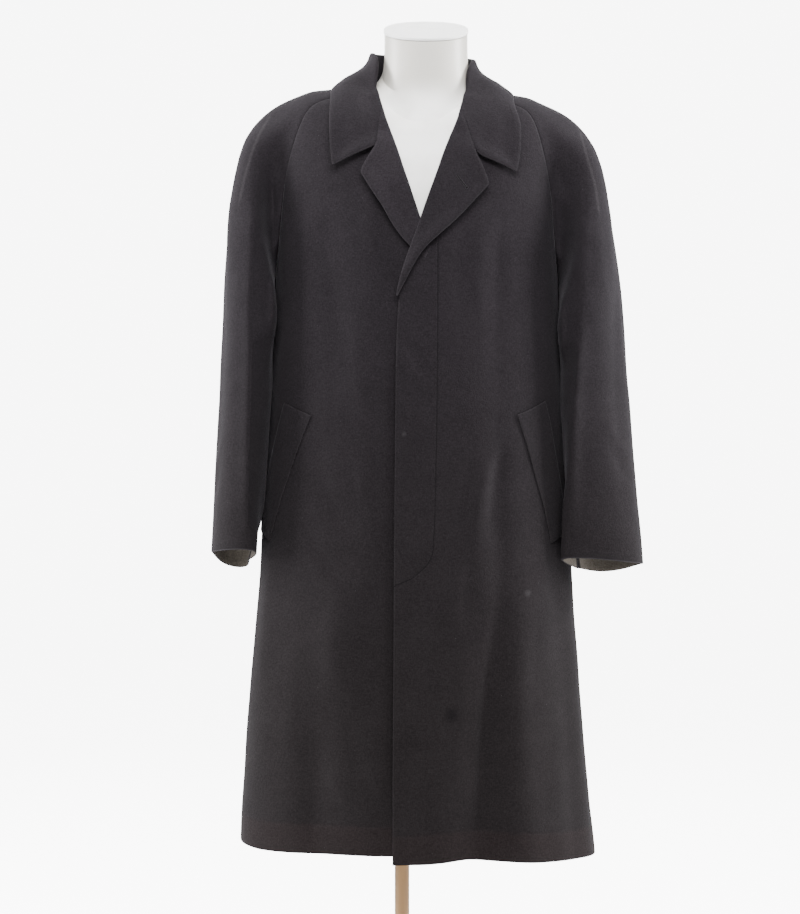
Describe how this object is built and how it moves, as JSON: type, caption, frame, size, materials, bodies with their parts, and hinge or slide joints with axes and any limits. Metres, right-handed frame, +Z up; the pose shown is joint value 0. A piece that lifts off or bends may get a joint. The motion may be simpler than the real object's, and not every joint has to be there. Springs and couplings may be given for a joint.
{
  "type": "wool overcoat on a dress form",
  "caption": "Long single-breasted raglan wool overcoat with notched lapels and slanted welt pockets, closed on a limbless torso form with a pole and a round base.",
  "frame": {"origin": "middle of the round base's underside, where it stands on the floor", "axes": "+Z up, the coat's front faces -Y, the wearer's left side is +X"},
  "size_m": [0.611, 0.38, 1.5155],
  "materials": {
    "wool": "short-napped charcoal wool",
    "form_shell": "satin off-white",
    "neck_cap": "satin white",
    "pole_wood": "clear satin",
    "steel": "satin"
  },
  "bodies": {
    "root": {"front_left": "wool", "front_right": "wool", "back": "wool", "sleeve_left_front": "wool", "sleeve_left_back": "wool", "sleeve_right_front": "wool", "sleeve_right_back": "wool", "collar": "wool", "lapel_left": "wool", "lapel_right": "wool", "pocket_welt_left": "wool", "pocket_welt_right": "wool", "torso_form": "form_shell", "neck_cap": "neck_cap", "pole": "pole_wood", "pole_socket": "steel", "stand_base": "steel"}
  },
  "joints": []
}
